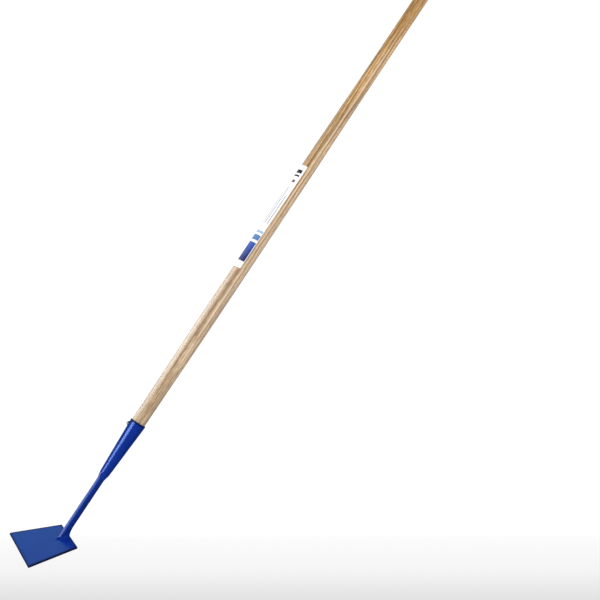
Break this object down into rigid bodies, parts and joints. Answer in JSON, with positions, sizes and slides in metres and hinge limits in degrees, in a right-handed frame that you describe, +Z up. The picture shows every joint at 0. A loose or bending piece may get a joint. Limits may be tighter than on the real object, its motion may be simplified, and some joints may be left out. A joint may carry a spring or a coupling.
{
  "type": "dutch hoe",
  "caption": "Dutch hoe with a flat trapezoid push blade on a bar neck, welded to a tapered socket that holds a long swelled wooden handle.",
  "frame": {"origin": "point where the handle's axis meets the flat sole of the blade", "axes": "+Z up from the sole, +X rearward from the cutting edge towards the user, +Y to the right of a user who looks towards the cutting edge; the handle lies in the XZ plane"},
  "size_m": [1.0579, 0.1314, 1.1755],
  "materials": {
    "blue_enamel": "glossy blue enamel on steel",
    "ash_wood": "satin varnished ash with long straight grain",
    "screw_steel": "bare zinc plated steel",
    "label_paper": "printed paper sticker with a semi-gloss face"
  },
  "bodies": {
    "root": {"blade": "blue_enamel", "foot_weld": "blue_enamel", "neck": "blue_enamel", "socket_weld": "blue_enamel", "socket": "blue_enamel", "handle": "ash_wood", "fixing_screw": "screw_steel", "label": "label_paper"}
  },
  "joints": []
}
